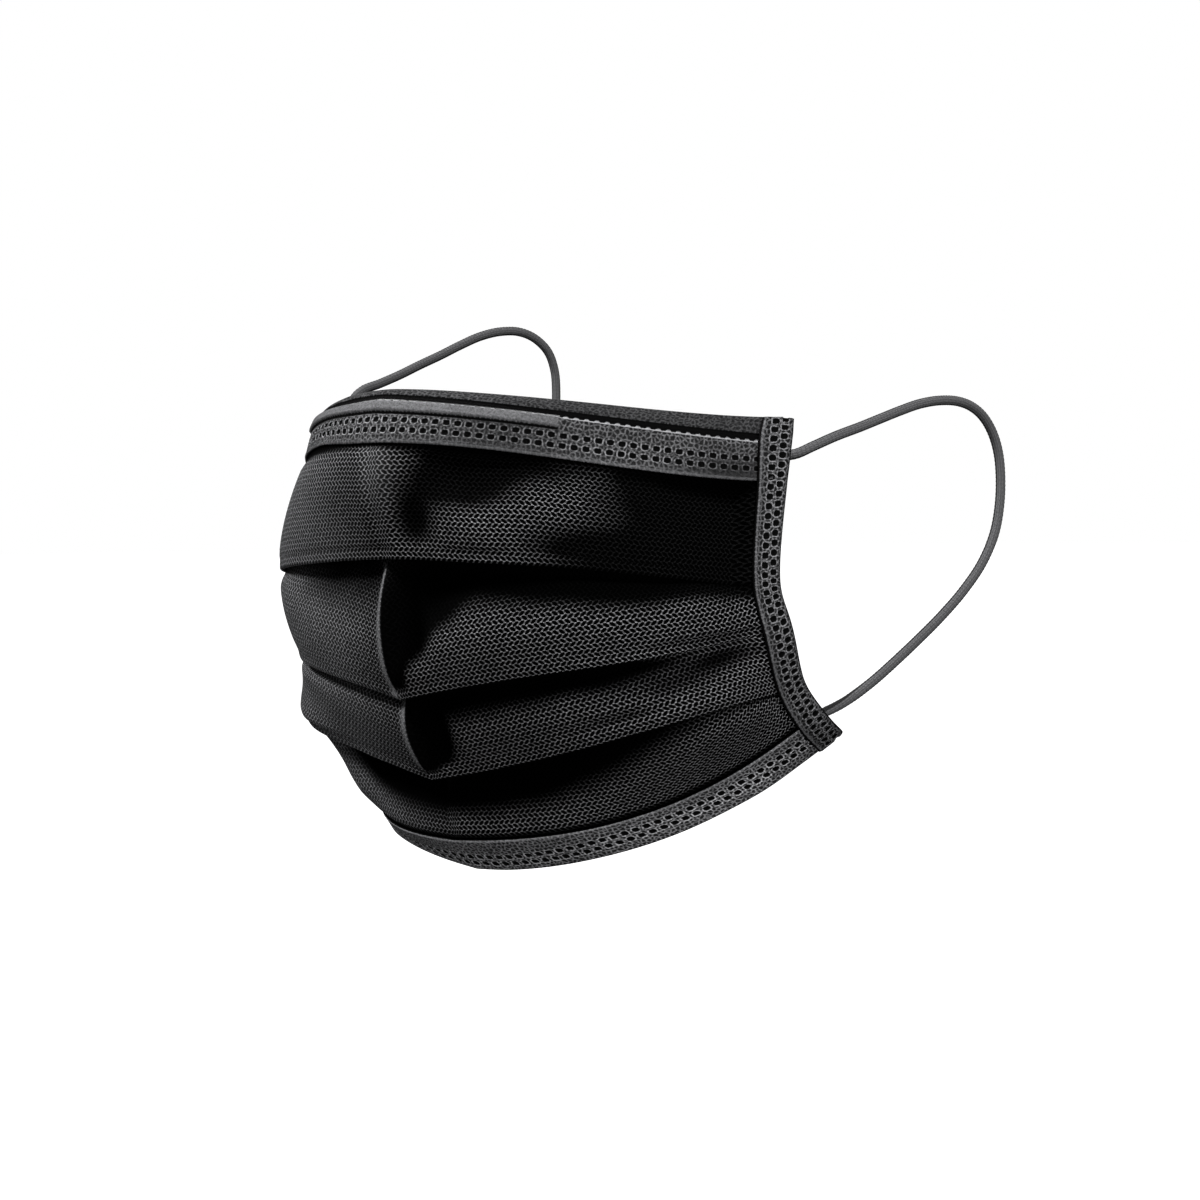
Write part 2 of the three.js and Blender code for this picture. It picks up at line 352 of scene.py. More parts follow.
rightRoute = [
    (-55.4, 47.2, -14.5), (-56.9, 49.4, -14.5), (-58.3, 51.5, -14.4), (-60.1, 52.8, -13.2),
    (-61.8, 52.8, -11), (-63.2, 52.2, -7.6), (-64.2, 51.8, -3.2), (-64.8, 52.6, 0.4), (-65, 55.6, 2.6),
    (-65, 61.2, 4.3), (-65, 67.6, 6.4), (-65, 74.1, 8.8), (-64.8, 80.5, 11.1), (-64.5, 86.9, 13.6),
    (-64, 93.1, 15.8), (-63.5, 99.4, 17.1), (-63, 105.5, 17.2), (-62.5, 110.5, 15.7), (-62, 114.3, 12.7),
    (-62, 116.5, 8.4), (-62, 117, 3), (-62, 116.2, -5), (-62, 114, -14), (-62, 110.8, -22.5),
    (-62, 106.5, -31), (-62, 101, -39), (-62, 94.8, -46), (-61.8, 88, -51.8), (-61.3, 81, -57),
    (-60.4, 74.8, -61.2), (-59.1, 69.9, -64.2), (-57.7, 67, -65.8), (-55.9, 64.9, -66.9), (-54, 63.3, -68),
]
elastic = {
    "diameter": 2.1,
    "sides": 24,
    "ringStep": 0.3,
    "stretchPoints": 16,  # on the smooth curve between two points of its way
    "ribs": 12,  # knitted columns round the cord
    "ribDepth": 0.05,
    "stitchLength": 0.9,
    "stitchDepth": 0.03,
    "colour": 0.125,
    "gapColour": 0.07,
    "edgeShadeColour": 0.012,  # painted shade along the cord's two side edges
    "facing": (0.66, -0.75, 0),  # the way its broad side lies once it is clear of the tape
    "toTape": {"top": (1.2, -0.8, 0.35), "bottom": (1.0, -0.35, -1.1)},  # from each end of the way
    "bends": (0.8, 4.6),  # where it leaves the tape, and where it is back on its way
    "turns": (1, 16),  # and the stretch over which its broad side turns
    "weld": {"length": 3.2, "thinner": 0.3, "wider": 0.25},  # each end is pressed flat
}


def smoothRoute(route):
    knots = beyondEnds(np.array(route, float))
    t = np.linspace(0, 1, elastic["stretchPoints"], endpoint=False)[:, None]
    stretches = [curveBetween(*four, t) for four in zip(knots, knots[1:], knots[2:], knots[3:])]
    return np.vstack([*stretches, knots[-2:-1]])


def elasticMaterial():
    make = newFinish("knitted elastic")
    around, along = make.cloth()
    rib = abs((around * elastic["ribs"]).part() - 0.5) * 2
    # painted shade: dark stripes along the cord's two side edges stand in for shade where its round edges
    # turn away
    paintedEdgeShade = make.step(0.5, 0.25, abs((around * 2).part() - 0.5) * 2)
    stitch = (along / elastic["stitchLength"] + rib * 0.5).part()
    knit = make.step(0.0, 0.55, 1 - rib) * make.step(0.0, 0.3, stitch)
    fuzz = make.noise(around * 40, along * 3, 1.0, 3.0)
    patchy = make.noise(around * 3, along, 0.12)
    colour = make.blend(knit, grey(elastic["gapColour"]), grey(elastic["colour"]))
    shade = make.blend(patchy * 0.35 + fuzz * 0.15, colour, grey(elastic["colour"] * 0.55))
    shade = make.blend(paintedEdgeShade, shade, grey(elastic["edgeShadeColour"]))
    normal = make.bump(knit * 0.7 + fuzz * 0.3, 0.08)
    return make.surface({"Base Color": shade, "Roughness": 0.82, "Normal": normal,
                         "Specular IOR Level": 0.25, "Sheen Weight": 0.05})


def loopPath(route, hand):
    # the smooth way of a loop with its ends pressed to the tape, how far each point is from the
    # nearer end, and the way the cord's broad side faces there
    path = evenly(smoothRoute(route), elastic["ringStep"])
    run = runLength(path, 0)
    nearEnd = np.minimum(run, run[-1] - run)[:, None]
    top, bottom = (np.array(elastic["toTape"][end]) * [hand, 1, 1] for end in ("top", "bottom"))
    toTape = np.where(run[:, None] < run[-1] / 2, top, bottom)
    leaves, back = elastic["bends"]
    path = path + toTape * ease(back, leaves, nearEnd)
    facing = mix(unit(toTape), np.array(elastic["facing"]), ease(*elastic["turns"], nearEnd))
    return path, nearEnd, facing


def earLoop(name, node, hand, route, material):
    path, nearEnd, facing = loopPath(route, hand)
    run = runLength(path, 0)
    ahead = unit(np.gradient(path, axis=0))
    flat = unit(facing - ahead * (facing * ahead).sum(-1, keepdims=True))
    lift = np.cross(flat, ahead)
    turn = np.arange(elastic["sides"]) / elastic["sides"]
    rib = np.abs((turn * elastic["ribs"]) % 1 - 0.5) * 2
    stitch = np.sin(2 * math.pi * (run[:, None] / elastic["stitchLength"] + rib * 0.5))
    radius = elastic["diameter"] / 2 - elastic["ribDepth"] * rib - elastic["stitchDepth"] * (1 - stitch)
    weld = elastic["weld"]
    press = 1 - ease(0, weld["length"], nearEnd)
    angle = 2 * math.pi * turn
    thin = radius * (1 - weld["thinner"] * press) * np.cos(angle)
    wide = radius * (1 + weld["wider"] * press) * np.sin(angle)
    points = path[:, None] + flat[:, None] * thin[..., None] + lift[:, None] * wide[..., None]
    loop = tubePiece(name, points, turn, run)
    finishPiece(loop, node, material)
    path[0] * mm
    path * mm
    print(node, "length", round(run[-1], 1))


elasticFinish = elasticMaterial()
earLoop("left_ear_elastic", "ear_loop_left", 1, leftRoute, elasticFinish)
earLoop("right_ear_elastic", "ear_loop_right", -1, rightRoute, elasticFinish)


# the surface that every cloth piece follows

# half of each line across the face: a curve from the centre through two handles to the side; the
# place down the cloth, v, counts these lines from 0 at the top fold to 7 at the chin fold
faceLines = {
    "top fold": ((0, 0, 0), (26, 0.5, -0.5), (43.5, 29.5, -6), (57, 46.5, -7)),
    "weld groove": ((0, -3, -1.5), (29.5, -2.5, -3), (46, 25.5, -8.5), (57.5, 44.5, -10.5)),
    "hem edge": ((0, -7, -11), (31, -5.5, -11), (47, 21.5, -18.5), (58.5, 42.5, -19.5)),
    "first pleat": ((0, -3, -34), (31.5, -1, -35), (55.5, 10, -36.5), (59, 40, -40)),
    "second pleat": ((0, 2, -62.3), (32, 2.5, -56), (51, 13, -55.5), (59.6, 42.6, -50)),
    "third pleat": ((0, 10.5, -79), (35, 14.5, -73.5), (61.5, 18.5, -64.5), (57.5, 49.5, -62)),
    "binding edge": ((0, 16, -91.5), (32, 16, -90.5), (42.5, 39, -86.5), (56.5, 57.5, -69.5)),
    "chin fold": ((0, 22.5, -98), (40.5, 25, -95), (45.5, 44, -88.5), (54.5, 66.5, -74.5)),
}
hemEdge, firstPleat, secondPleat, thirdPleat, bindingEdge, lastLine = range(2, 8)
lineSteps = 200  # along half of a line, to measure it by
crease = {"width": 0.09, "out": {"second pleat": 1.2, "third pleat": 1}}  # down the middle

# how each panel stands out below its line, in millimetres: all over, and at the crease
panels = {
    hemEdge: {"bulge": 0.6, "ridge": 0},
    firstPleat: {"bulge": 0.3, "ridge": 2.2},
    secondPleat: {"bulge": 0.2, "ridge": 0.8},
    thirdPleat: {"bulge": 0.4, "ridge": 0.3},
}


def creaseAt(u):
    return np.exp(-np.abs(u) / crease["width"])


def halfLine(handles, share):
    t = np.linspace(0, 1, lineSteps + 1)[:, None]
    centre, front, cheek, side = np.array(handles, float)
    curve = (1 - t) ** 3 * centre + 3 * (1 - t) ** 2 * t * front + 3 * (1 - t) * t * t * cheek + t**3 * side
    run = runLength(curve, 0)
    return np.stack([np.interp(share * run[-1], run, column) for column in curve.T], -1)


def skin(u, v):
    # the outer surface: u from -1 on the wearer's right to 1 on the left, v down the cloth
    u, v = (x.astype(float) for x in np.broadcast_arrays(u, v))
    shape = u.shape
    u, v = u.ravel(), np.clip(v.ravel(), 0, lastLine)
    knots = np.stack([halfLine(handles, np.minimum(np.abs(u), 1)) for handles in faceLines.values()])
    knots[..., 0] *= np.sign(u)
    knots[..., 1] -= np.array([crease["out"].get(name, 0) for name in faceLines])[:, None] * creaseAt(u)
    knots = beyondEnds(knots)
    above = np.minimum(v.astype(int), lastLine - 1)
    four = [knots[above + k, np.arange(len(u))] for k in range(4)]
    return curveBetween(*four, (v - above)[:, None]).reshape(*shape, 3)


def skinFrame(u, v):
    across = skin(u + 0.01, v) - skin(u - 0.01, v)
    up = unit(skin(u, v - 0.02) - skin(u, v + 0.02))
    return up, unit(np.cross(up, across))


def onCloth(u, v, rise, depth):
    # u and v moved up along the cloth by rise and in towards the face by depth
    up, inward = skinFrame(u, v)
    proud = np.zeros(np.broadcast(u, v).shape)
    share = v - np.floor(v)
    for top, panel in panels.items():
        standing = panel["bulge"] * (1 - u**4) + panel["ridge"] * creaseAt(u)
        proud = proud + np.where(np.floor(v) == top, 4 * share * (1 - share) * standing, 0)
    point = skin(u, v)
    return point + up * np.asarray(rise)[..., None] + inward * (depth - proud)[..., None]


# the way the cloth leaves the side of the mask, under the edging, in degrees out from straight back
flare = {"top": 38, "bottom": 18}


def sideways(v):
    up, _ = skinFrame(np.ones_like(v), v)
    angle = np.radians(mix(flare["top"], flare["bottom"], v / lastLine))
    out = np.stack([np.sin(angle), np.cos(angle), np.zeros_like(angle)], -1)
    down = np.maximum(0, -(out * up).sum(-1, keepdims=True))
    return unit(out + up * down)


def refine(u, rows, smooth):
    # a row holds values at the stations u, and last the number of steps to the next row
    table = [np.stack([np.broadcast_to(x, u.shape) for x in row[:-1]]).astype(float) for row in rows]
    out = []
    for row, here, ahead in zip(rows, table, table[1:]):
        out += [mix(here, ahead, t) for t in np.arange(row[-1]) / row[-1]]
    out = np.stack([*out, table[-1]])
    for _ in range(smooth):
        out[1:-1] = (out[:-2] + 2 * out[1:-1] + out[2:]) / 4
    return out.swapaxes(0, 1)


def withEnds(u, ends):
    # the stations with columns beyond both sides, and how far those run in under the edging
    beyond = np.array(ends, float)
    wide = np.concatenate([np.full(len(beyond), u[0]), u, np.full(len(beyond), u[-1])])
    return wide, np.concatenate([-beyond[::-1], np.zeros(len(u)), beyond])


def spread(u, reach, v, rise, depth):
    # the grid of points at the stations u, its end columns carried on out beyond the sides by reach
    points = onCloth(u[None], v, rise, depth)
    out = sideways(v) * np.stack([np.sign(reach), np.ones_like(reach), np.ones_like(reach)], -1)
    return points + out * np.abs(reach)[:, None]


def clothAcross(u, reach, v):
    # millimetres along the cloth from the crease, at place v
    run = runLength(skin(u, v), 0)
    return run - run[len(u) // 2] + reach


# the body: three plies pleated as one

body = {
    "columns": 81,  # from the crease to each side
    "crowding": 1.15,  # of the columns towards the crease
    "thickness": {"centre": 0.42, "side": 0.2},  # the plies are pressed thin beside the edging
    "foldGap": {"centre": 0.75, "side": 0.1},  # between the layers of a pleat
    "behindWire": 1.35,  # how far in it lies under the upper part of the top hem
    "behindHem": 0.52,  # and under the hems' free edges
    "tuck": {"centre": 0.2, "side": 0.4},  # how far up the panel above it a pleat's hidden turn lies
    "emerge": {"centre": 0.5, "side": 0.14},  # share of a panel over which it comes out of its pleat
    "gathered": 2.2,  # the steep side of the crease takes this much more cloth
    "ends": (1.2, 2.6, 4.0),  # columns beyond each side, under the edging
    # each pleat: how open it is at the side, how far to the side the painted shadow under it reaches, and
    # whether the crease stands up in the panel below it; then how that panel falls in, which sets its
    # painted
    # shade too: a pocket beside the crease, on the wearer's left, and a trough along the pleat, on both
    # sides
    "pleats": {
        firstPleat: {
            "open": 0.6, "line": 1.2, "ridged": 1,
            "pocket": {"depth": 4.2, "reach": 0.57, "narrows": 1.5, "soft": 0.25, "closes": 0.25},
            "trough": {"left": {"depth": 3.2, "down": 0.6, "until": 0.98, "fading": 0.35},
                       "right": {"depth": 2.0, "down": 0.75, "until": 0.7, "fading": 0.45}},
        },
        secondPleat: {
            "open": 0.0, "line": 0.8, "ridged": 1,
            "pocket": {"depth": 3.4, "reach": 0.145, "narrows": 0.15, "soft": 0.4, "closes": 0.2},
            "trough": {"left": {"depth": 3.4, "down": 0.6, "until": 0.86, "fading": 0.35},
                       "right": {"depth": 3.0, "down": 0.17, "until": 0.85, "fading": 0.3}},
        },
        thirdPleat: {
            "open": 0.8, "line": 1.2, "ridged": 0,
            "trough": {"left": {"depth": 3.8, "down": 0.95, "until": 1.0, "fading": 0.75},
                       "right": {"depth": 4.0, "down": 1.0, "until": 0.6, "fading": 0.32}},
        },
    },
    # soft swells and hollows of the worn cloth, each side its own: millimetres out, place and size
    "swells": (
        {"out": -3.2, "u": 0.32, "v": 2.06, "wide": 0.17, "tall": 0.22},
        {"out": -3.0, "u": 0.24, "v": 2.36, "wide": 0.13, "tall": 0.2},
        {"out": -2.2, "u": 0.1, "v": 2.68, "wide": 0.07, "tall": 0.24},
        {"out": 1.2, "u": -0.01, "v": 2.5, "wide": 0.06, "tall": 0.5},
        {"out": 0.5, "u": 0.3, "v": 2.8, "wide": 0.1, "tall": 0.16},
        {"out": -1.1, "u": 0.6, "v": 2.83, "wide": 0.2, "tall": 0.17},
        {"out": -3.0, "u": 0.9, "v": 2.92, "wide": 0.44, "tall": 0.36},
        {"out": -4.6, "u": 1.02, "v": 2.26, "wide": 0.36, "tall": 0.42},
        {"out": -1.9, "u": 0.87, "v": 4.2, "wide": 0.16, "tall": 0.2},
        {"out": -1.4, "u": 0.72, "v": 4.45, "wide": 0.13, "tall": 0.2},
        {"out": -1.2, "u": 0.56, "v": 4.78, "wide": 0.14, "tall": 0.14},
        {"out": 0.8, "u": -0.55, "v": 2.5, "wide": 0.22, "tall": 0.8},
        {"out": 0.5, "u": -0.55, "v": 3.6, "wide": 0.22, "tall": 0.5},
        {"out": 2.1, "u": -0.55, "v": 4.86, "wide": 0.16, "tall": 0.24},
        {"out": 1.7, "u": -0.46, "v": 5.62, "wide": 0.15, "tall": 0.3},
    ),
    "ripple": 0.08,  # height of the fine unevenness
    # painted shade: the pale strands fade to the dark shade colour from one depth in millimetres to the
    # other, where the cloth lies in or is painted as if it did; they stay faint in shallow hollows of the
    # drape; the inside is evenly dimmed
    "paintedShading": {"from": 0.3, "to": 2.2, "faint": 0.04, "inside": 0.4},
    # how much the weave blurs into a pale nap on the wearer's right and at the bridge of the nose
    "nap": {"right": 0.42, "bridge": 0.3},
    # staggered slanted holes pressed between thin strands, one row leaning each way; their sizes, the
    # colours of strand, of painted shade and random fibre flecks, and of hole, and the depth of the relief
    "weave": {"pitch": 1.26, "row": 0.93, "hole": (0.43, 0.5), "lean": 0.8, "strand": 0.175,
              "shadeAndFleckColour": 0.0015, "dark": 0.0002, "depth": 0.25},
}


def drape(u, v):
    side = np.abs(u)
    out = body["ripple"] * np.sin(31 * u + 5 * v) * np.sin(3.1 * v + 9 * side) * ease(0.05, 0.2, side)
    for swell in body["swells"]:
        near = bell(u, swell["u"], swell["wide"])
        out = out + swell["out"] * near * bell(v, swell["v"], swell["tall"])
    return out * ease(hemEdge, hemEdge + 0.12, v) * ease(bindingEdge, bindingEdge - 0.15, v)


def pocketDepth(side, pocket, share):
    below = np.clip(1 - share, 0.02, 1)
    place = side / (pocket["reach"] * below ** pocket["narrows"])
    depth = pocket["depth"] * ease(0, 0.12, place) * (1 - ease(pocket["soft"], 1.1, place))
    return depth * ease(0, pocket["closes"], below)


def hollowUnder(u, pleat, share):
    # how far the panel below a pleat falls in, at a share of the way down the panel
    facts = body["pleats"][pleat]
    side = np.abs(u)
    pocket = pocketDepth(side, facts["pocket"], share) * (u > 0) if "pocket" in facts else 0
    left, right = facts["trough"]["left"], facts["trough"]["right"]
    trough = {key: np.where(u < 0, right[key], left[key]) for key in left}
    beside = mix(1, ease(0.0, 0.05, side), facts["ridged"])
    fading = 1 - ease(trough["until"] - trough["fading"], trough["until"], side)
    down = trough["down"] * mix(0.2, 1, fading)
    along = trough["depth"] * beside * np.sqrt(fading) * (1 - ease(0, down, share))
    return np.maximum(pocket, along)


def flankOf(u, pleat):
    # 1 on the steep side of the crease, where the panel below a pleat has a pocket; painted shade darkens
    # it
    return ("pocket" in body["pleats"][pleat]) * ease(-0.005, 0, u) * ease(0.05, 0.025, u)


def bodyLayers(u):
    # the thickness of the cloth, and the depths of a pleat's hidden layer and of the panel below it
    side = np.abs(u)
    shut = ease(0.3, 0.95, side)
    thickness = mix(body["thickness"]["centre"], body["thickness"]["side"], ease(0.6, 0.95, side))
    gapNow = mix(body["foldGap"]["centre"], body["foldGap"]["side"], shut)
    back = 2 * thickness + gapNow
    return thickness, back, back + gapNow


def pleatLayers(u, pleat):
    # the depths of a pleat's fold edge, of its hidden layer and of the panel below; where the pleat is
    # shut at the side, the edge lies flush with that panel
    _, back, below = bodyLayers(u)
    edge = ease(0.6, 0.95, np.abs(u)) * (1 - body["pleats"][pleat]["open"]) * below * 0.8
    return edge, back + edge, below + edge


def darkUnder(u, pleat):
    # painted shadow under a pleat's fold, fading out towards the side
    line = body["pleats"][pleat]["line"]
    return body["paintedShading"]["to"] * ease(line, line - 0.2, np.abs(u))


def tuckAt(u):
    return mix(body["tuck"]["centre"], body["tuck"]["side"], u * u)


# a row of the body: place, rise, depth, how far it has fallen in or how dark its painted shade is, and
# the steps to the next row


def rowsUnderHem(u):
    behind, dark = body["behindHem"], body["paintedShading"]["to"]
    rows = [(v, 0, body["behindWire"], 0, 2) for v in (0.35, 0.7, 1.05, 1.4)]
    # painted shadow: the cloth behind the hem and just below its free edge is darkened
    rows += [(v, 0, behind, dark, 2) for v in (1.65, 1.85, 2.0)]
    shadeEnd = 0.09 + 0.2 * ease(0.6, 0.85, u)
    for share, steps in ((0.03, 2), (0.07, 2), (0.15, 2), (0.3, 3), (0.5, 4), (0.7, 4), (0.88, 3)):
        depth = behind * (1 - ease(0, 0.4, share))
        rows.append((hemEdge + share, 0, depth, dark * (1 - ease(0.02, shadeEnd, share)), steps))
    return rows


def pleatRows(u, pleat):
    # four rows down to the fold edge, and ten up inside the pleat, round its turn and down again
    edge, back, below = pleatLayers(u, pleat)
    top = pleat - tuckAt(u)
    # painted shade on the crease's steep flank just above the fold edge; the hidden rows inside the pleat
    # are painted dark
    flank = body["paintedShading"]["to"] * flankOf(u, pleat - 1) if pleat > firstPleat else 0
    shown = [(pleat, 2.5, 0, flank, 3), (pleat, 0.9, edge, 0, 2), (pleat, 0.35, edge, 0, 2),
             (pleat, 0, 0.2 + edge, 0.4, 2)]
    hidden = [
        (pleat, -0.05, mix(edge, back, 0.5), 2), (pleat, 0, back - 0.1, 2), (pleat, 0.4, back, 2),
        (pleat, 1.4, back, 4), (top, -1.2, back, 2), (top, -0.3, back, 2),
        (top, 0, (back + below) / 2, 2), (top, -0.3, below, 2), (top, -1.2, below, 4),
        (pleat, 0.6, below, 2),
    ]
    dark = darkUnder(u, pleat)
    return shown + [(v, rise, depth, dark, steps) for v, rise, depth, steps in hidden]


def panelRows(u, pleat):
    # the panel below a pleat, from where it comes out to just above the next line
    below = pleatLayers(u, pleat)[2]
    settle = body["behindHem"] if pleat == thirdPleat else 0
    emerge = mix(body["emerge"]["centre"], body["emerge"]["side"], ease(0.2, 0.6, np.abs(u)))
    tuck, dark = tuckAt(u), darkUnder(u, pleat)
    flank = body["paintedShading"]["to"] * flankOf(u, pleat)
    rows = []
    for share, steps in ((0.03, 2), (0.08, 2), (0.16, 3), (0.26, 3), (0.4, 4), (0.6, 4), (0.8, 2)):
        depth = settle + (below - settle) * np.maximum(0, 1 - share / emerge) ** 2
        fallen = hollowUnder(u, pleat, share) * ease(0, 0.08, share)
        room = 0.25 + 5 * ease(tuck, tuck + 0.22, 1 - share)  # in front of the next pleat's layers
        # painted shade: a dark band just below the pleat, the crease's steep flank, and darker where the
        # panel falls in
        shade = np.maximum(dark * 1.2 * (1 - ease(0, 0.11, share)), flank)
        rows.append((pleat + share, 0, depth + np.minimum(fallen, room), np.maximum(fallen, shade), steps))
    return rows


def bodyRows(u):
    # all the rows, and the numbers of some: the edges that the weave keeps to, the hidden turns where
    # it starts afresh, and for each pleat the row where the panel below is clear of it
    rows = rowsUnderHem(u)
    edges, turns, clears = [], [0], []
    for pleat in body["pleats"]:
        edges.append(len(rows) + 3)
        turns.append(len(rows) + 10)
        rows += pleatRows(u, pleat) + panelRows(u, pleat)
        clears.append(len(rows) - 1)
    behind, dark = body["behindHem"], body["paintedShading"]["to"]
    # painted shadow: the cloth just above the chin hem's free edge and under it is darkened
    rows += [(bindingEdge - 0.13, 0, behind, 0, 2), (bindingEdge - 0.05, 0, behind, dark, 2)]
    rows += [(bindingEdge + past, 0, behind, dark, 2) for past in (0, 0.15, 0.3, 0.4)]
    return rows, edges + [len(rows) - 4], turns + [len(rows)], clears


def weaveMask(make, across, down):
    # the holes, the strands between them, and where two holes of a row all but meet
    weave = body["weave"]
    wide, tall = weave["hole"]
    odd = (down / weave["row"]).whole() % 2.0
    x = ((across / weave["pitch"] + odd * 0.5).part() - 0.5) * weave["pitch"]
    y = ((down / weave["row"]).part() - 0.5) * weave["row"]
    slanted = x + y * (1 - odd * 2) * weave["lean"]
    inside = (slanted / wide) ** 2.0 + (y / tall) ** 2.0
    link = make.step(weave["row"] * 0.32, weave["row"] * 0.12, abs(y))
    return make.step(1.15, 0.75, inside), make.step(1.1, 1.8, inside), link


def bodyMaterial():
    make = newFinish("black embossed nonwoven")
    weave = body["weave"]
    across, down = make.cloth()
    hole, strands, link = weaveMask(make, across, down)
    fibres = make.noise(across, down, 2.6, 3.0)
    cloudy = make.noise(across, down, 0.06)
    paintedShading, fuzzy = make.layer("paintedShading"), make.layer("fuzzy")
    hole = hole * (1 - fuzzy)
    strands = (strands * (1 - link * 0.8 * make.step(0.3, 0.05, fuzzy))).most(fuzzy * 0.6)
    # the weave as it shows where no shade is painted
    worn = make.blend(strands, grey(weave["strand"] * 0.45), grey(weave["strand"] * 1.6))
    # painted shade: where the paintedShading layer is low the weave turns to the dark shade colour
    cloth = make.blend(paintedShading * (0.8 + cloudy * 0.4), grey(weave["shadeAndFleckColour"]), worn)
    # darker fibre flecks at random, in the same dark colour
    fibreFlecked = make.blend(make.step(0.35, 0.75, fibres) * 0.75, cloth, grey(weave["shadeAndFleckColour"]))
    colour = make.blend(hole, fibreFlecked, grey(weave["dark"]))
    normal = make.bump((fibres * 0.25 + strands * 0.2 - hole) * (1 - fuzzy), weave["depth"])
    return make.surface({"Base Color": colour, "Roughness": 0.85, "Normal": normal,
                         "Specular IOR Level": 0.02})


def weaveDown(points, edges, turns):
    # the rows of the weave run along each fold edge, and jump only inside the pleats
    run = runLength(points, 0)
    down = run.copy()
    quarter = points.shape[1] // 4  # the column where the rows keep to the length of the cloth
    for start, stop, edge in zip(turns[:-1], turns[1:], edges):
        down[start:stop] = run[start:stop] - run[edge] + run[edge, quarter]
    return down


def addBodyLayers(piece, u, v, fallen, relief, hidden):
    # the painted shade and how fuzzy the cloth is; hidden has the rows between a fold edge and the turn
    # inside its pleat, and those on to where the panel below is clear
    paintedShading, nap = body["paintedShading"], body["nap"]
    # painted shade outside: the deeper the cloth lies, with the drape's hollows, the darker; faint where
    # only the drape is hollow
    proud = ease(paintedShading["to"], paintedShading["from"], fallen - relief)
    faint = paintedShading["faint"] * ease(paintedShading["to"], paintedShading["from"], fallen)
    inside = np.full(proud.shape, paintedShading["inside"])
    for edge, turn, clear in hidden:
        # painted shade inside: dark within each pleat and beside the crease below it
        inside[edge - 1:turn] = 0
        inside[turn:clear] *= ease(0.02, 0.05, np.abs(u))
    addLayer(piece, "paintedShading", np.maximum(proud, faint), inside)
    # painted highlight: a plain pale strip along the crest of the crease, just on the wearer's right of it
    ridge = bell(u, -0.014, 0.016) * ease(firstPleat, firstPleat + 0.1, v)
    ridge = ridge * ease(thirdPleat, thirdPleat - 0.1, v)
    bridge = bell(u, 0.02, 0.05) * ease(2.8, 2.3, v)
    fuzzy = np.maximum(nap["right"] * ease(0.06, -0.35, u), nap["bridge"] * bridge)
    addLayer(piece, "fuzzy", np.maximum(fuzzy, ridge), paintedShading["inside"])


def makeBody():
    half = np.linspace(0, 1, body["columns"]) ** body["crowding"]
    u, reach = withEnds(np.concatenate([-half[:0:-1], half]), body["ends"])
    rows, edges, turns, clears = bodyRows(u)
    v, rise, depth, fallen = refine(u, rows, 2)
    relief = drape(u, v)
    points = spread(u, reach, v, rise, depth - relief * ease(1, 0.97, np.abs(u)))
    across = clothAcross(u, reach, firstPleat)
    gathered = across + body["gathered"] * ease(0, 0.035, u)
    at = np.cumsum([0] + [row[-1] for row in rows])  # where each row lies in the finished grid
    down = weaveDown(points, at[edges], at[turns])
    piece = clothPiece("pleated_body", points, gathered[None], down, bodyLayers(u)[0])
    hidden = [(at[edge], at[turn], at[clear]) for edge, turn, clear in zip(edges, turns[1:], clears)]
    addBodyLayers(piece, u, v, fallen, relief, hidden)
    finishPiece(piece, "filter_panel", bodyMaterial())
    areas = np.linalg.norm(np.diff(points[:, :-1], axis=0), axis=-1) * np.diff(across)
    return piece, np.ptp(across), areas.sum() / np.ptp(across)


bodyPiece, flatWidth, flatLength = makeBody()
print("body made, its cloth", round(flatWidth, 1), "by", round(flatLength, 1), "mm")


# the nonwoven of hems and edging: a net of fibres, with rows of weld dots

nonwoven = {
    "thickness": 0.4,
    "step": 0.27,  # size of the mesh
    "colour": 0.19,
    "gap": 0.006,  # colour between the fibres
    "dark": 0.0015,  # and of the welds
    "cell": 0.98,  # of the net
    "fibre": 0.16,
    "scatter": 0.8,
    "ragged": 0.6,  # how uneven the dots' edges are
}


def dotField(along, up, dots):
    # 1 in the middle of a dot and 0 between the dots
    out = np.zeros(np.broadcast(along, up).shape)
    wide, tall = dots["size"]
    for k, row in enumerate(dots["rows"]):
        x = ((along / dots["pitch"] + dots["shift"] * k) % 1 - 0.5) * dots["pitch"]
        inside = np.abs(x / wide) ** 3 + np.abs((up - row) / tall) ** 3
        out = np.maximum(out, ease(1.5, 0.5, inside))
    return out


def dotMasks(make, along, up, dots, ragged):
    # the dots, and the pale ring of squeezed fibre round each
    wide, tall = dots["size"]
    rows = []
    for k, row in enumerate(dots["rows"]):
        x = ((along / dots["pitch"] + dots["shift"] * k).part() - 0.5) * dots["pitch"]
        rows.append(abs(x / wide) ** 3.0 + abs((up - row) / tall) ** 3.0)
    inside = rows[0].least(rows[1]) + ragged
    return make.step(1.5, 0.9, inside), make.step(1.3, 2.0, inside) * make.step(5.0, 3.0, inside)


def netMask(make, along, up):
    # 1 on the fibres of an open net
    settings = {"feature": "DISTANCE_TO_EDGE", "voronoi_dimensions": "2D"}
    sockets = {"Vector": make.flatPoint(along, up), "Scale": 1 / nonwoven["cell"],
               "Randomness": nonwoven["scatter"]}
    edge = make.node("ShaderNodeTexVoronoi", settings, sockets)
    return make.step(nonwoven["fibre"] * 1.5, nonwoven["fibre"] * 0.7, edge)


